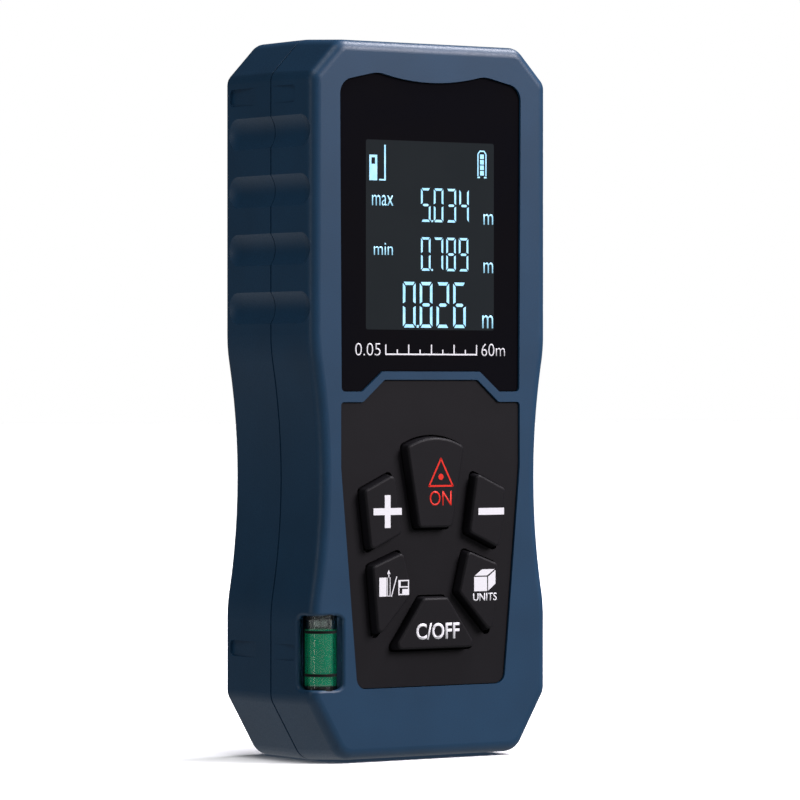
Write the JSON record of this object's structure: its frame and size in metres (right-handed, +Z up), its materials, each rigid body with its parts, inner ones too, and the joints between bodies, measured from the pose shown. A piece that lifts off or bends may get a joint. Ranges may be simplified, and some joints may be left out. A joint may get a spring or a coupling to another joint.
{
  "type": "laser distance meter",
  "caption": "Hand-held laser distance meter: waisted two-shell body with a display window, keypad, corner spirit level, hinged battery door and range-finding optics.",
  "frame": {"origin": "point on the flat foot of the body, midway across its width, on the plane where the front and rear covers meet", "axes": "+Z up along the body towards the optics, -Y towards the display and keys, +X to the right of a person looking at the display"},
  "size_m": [0.047, 0.0263, 0.115],
  "materials": {
    "housing_blue": "soft-touch fine matte moulding",
    "black_matte": "fine matte moulding",
    "black_rubber": "matte silicone",
    "window_gloss": "gloss printed pane",
    "adhesive": "matte film",
    "clear_glass": "polished",
    "lcd_glass": "polished",
    "light_guide": "gloss",
    "frame_plastic": "matte",
    "board_green": "solder-mask sheen",
    "chip_black": "matte moulding compound",
    "steel": "plated",
    "nickel": "nickel plated",
    "brass": "turned",
    "gold": "plated disc",
    "cell_wrap": "printed sleeve",
    "foam": "closed-cell foam",
    "label": "blank matte film",
    "acrylic": "polished acrylic",
    "vial_green": "tinted fluid"
  },
  "bodies": {
    "housing": {"front_cover": "housing_blue", "rear_cover": "housing_blue", "housing_gasket": "black_rubber", "display_window": "window_gloss", "window_tape": "adhesive", "lcd_glass": "lcd_glass", "lcd_backlight": "light_guide", "lcd_frame": "frame_plastic", "zebra_strip": "black_rubber", "keypad_panel": "black_matte", "keypad_mat": "black_rubber", "switch_domes": "steel", "main_board": "board_green", "board_screws": "steel", "microcontroller": "chip_black", "crystal": "nickel", "buzzer": "chip_black", "board_components": "chip_black", "optics_frame": "frame_plastic", "optics_screws": "steel", "laser_tube": "brass", "laser_diode": "gold", "collimator_lens": "clear_glass", "receiver_lens": "clear_glass", "lens_retainer": "black_matte", "detector_board": "board_green", "detector_can": "gold", "optics_bezel": "black_matte", "laser_window": "clear_glass", "battery_left": "cell_wrap", "battery_right": "cell_wrap", "contact_plates": "nickel", "contact_springs": "nickel", "rear_label": "label", "housing_screws": "steel", "vial_tube": "acrylic", "vial_plugs": "black_rubber", "vial_liquid": "vial_green", "vial_rings": "black_matte", "vial_cradle": "black_matte"},
    "key_on": {"key_on": "black_matte"},
    "key_plus": {"key_plus": "black_matte"},
    "key_minus": {"key_minus": "black_matte"},
    "key_reference": {"key_reference": "black_matte"},
    "key_units": {"key_units": "black_matte"},
    "key_clear": {"key_clear": "black_matte"},
    "battery_door": {"battery_door": "housing_blue", "door_foam": "foam"}
  },
  "joints": [
    {"name": "key_on_press", "type": "slide", "parent": "housing", "child": "key_on", "axis": [0, 1, 0], "range_m": [0, 0.0008], "stiffness_N_per_m": 400},
    {"name": "key_plus_press", "type": "slide", "parent": "housing", "child": "key_plus", "axis": [0, 1, 0], "range_m": [0, 0.0008], "stiffness_N_per_m": 400},
    {"name": "key_minus_press", "type": "slide", "parent": "housing", "child": "key_minus", "axis": [0, 1, 0], "range_m": [0, 0.0008], "stiffness_N_per_m": 400},
    {"name": "key_reference_press", "type": "slide", "parent": "housing", "child": "key_reference", "axis": [0, 1, 0], "range_m": [0, 0.0008], "stiffness_N_per_m": 400},
    {"name": "key_units_press", "type": "slide", "parent": "housing", "child": "key_units", "axis": [0, 1, 0], "range_m": [0, 0.0008], "stiffness_N_per_m": 400},
    {"name": "key_clear_press", "type": "slide", "parent": "housing", "child": "key_clear", "axis": [0, 1, 0], "range_m": [0, 0.0008], "stiffness_N_per_m": 400},
    {"name": "battery_door_hinge", "type": "hinge", "parent": "housing", "child": "battery_door", "pos_m": [0, 0.0129, 0.0136], "axis": [-1, 0, 0], "range_deg": [0, 75]}
  ]
}
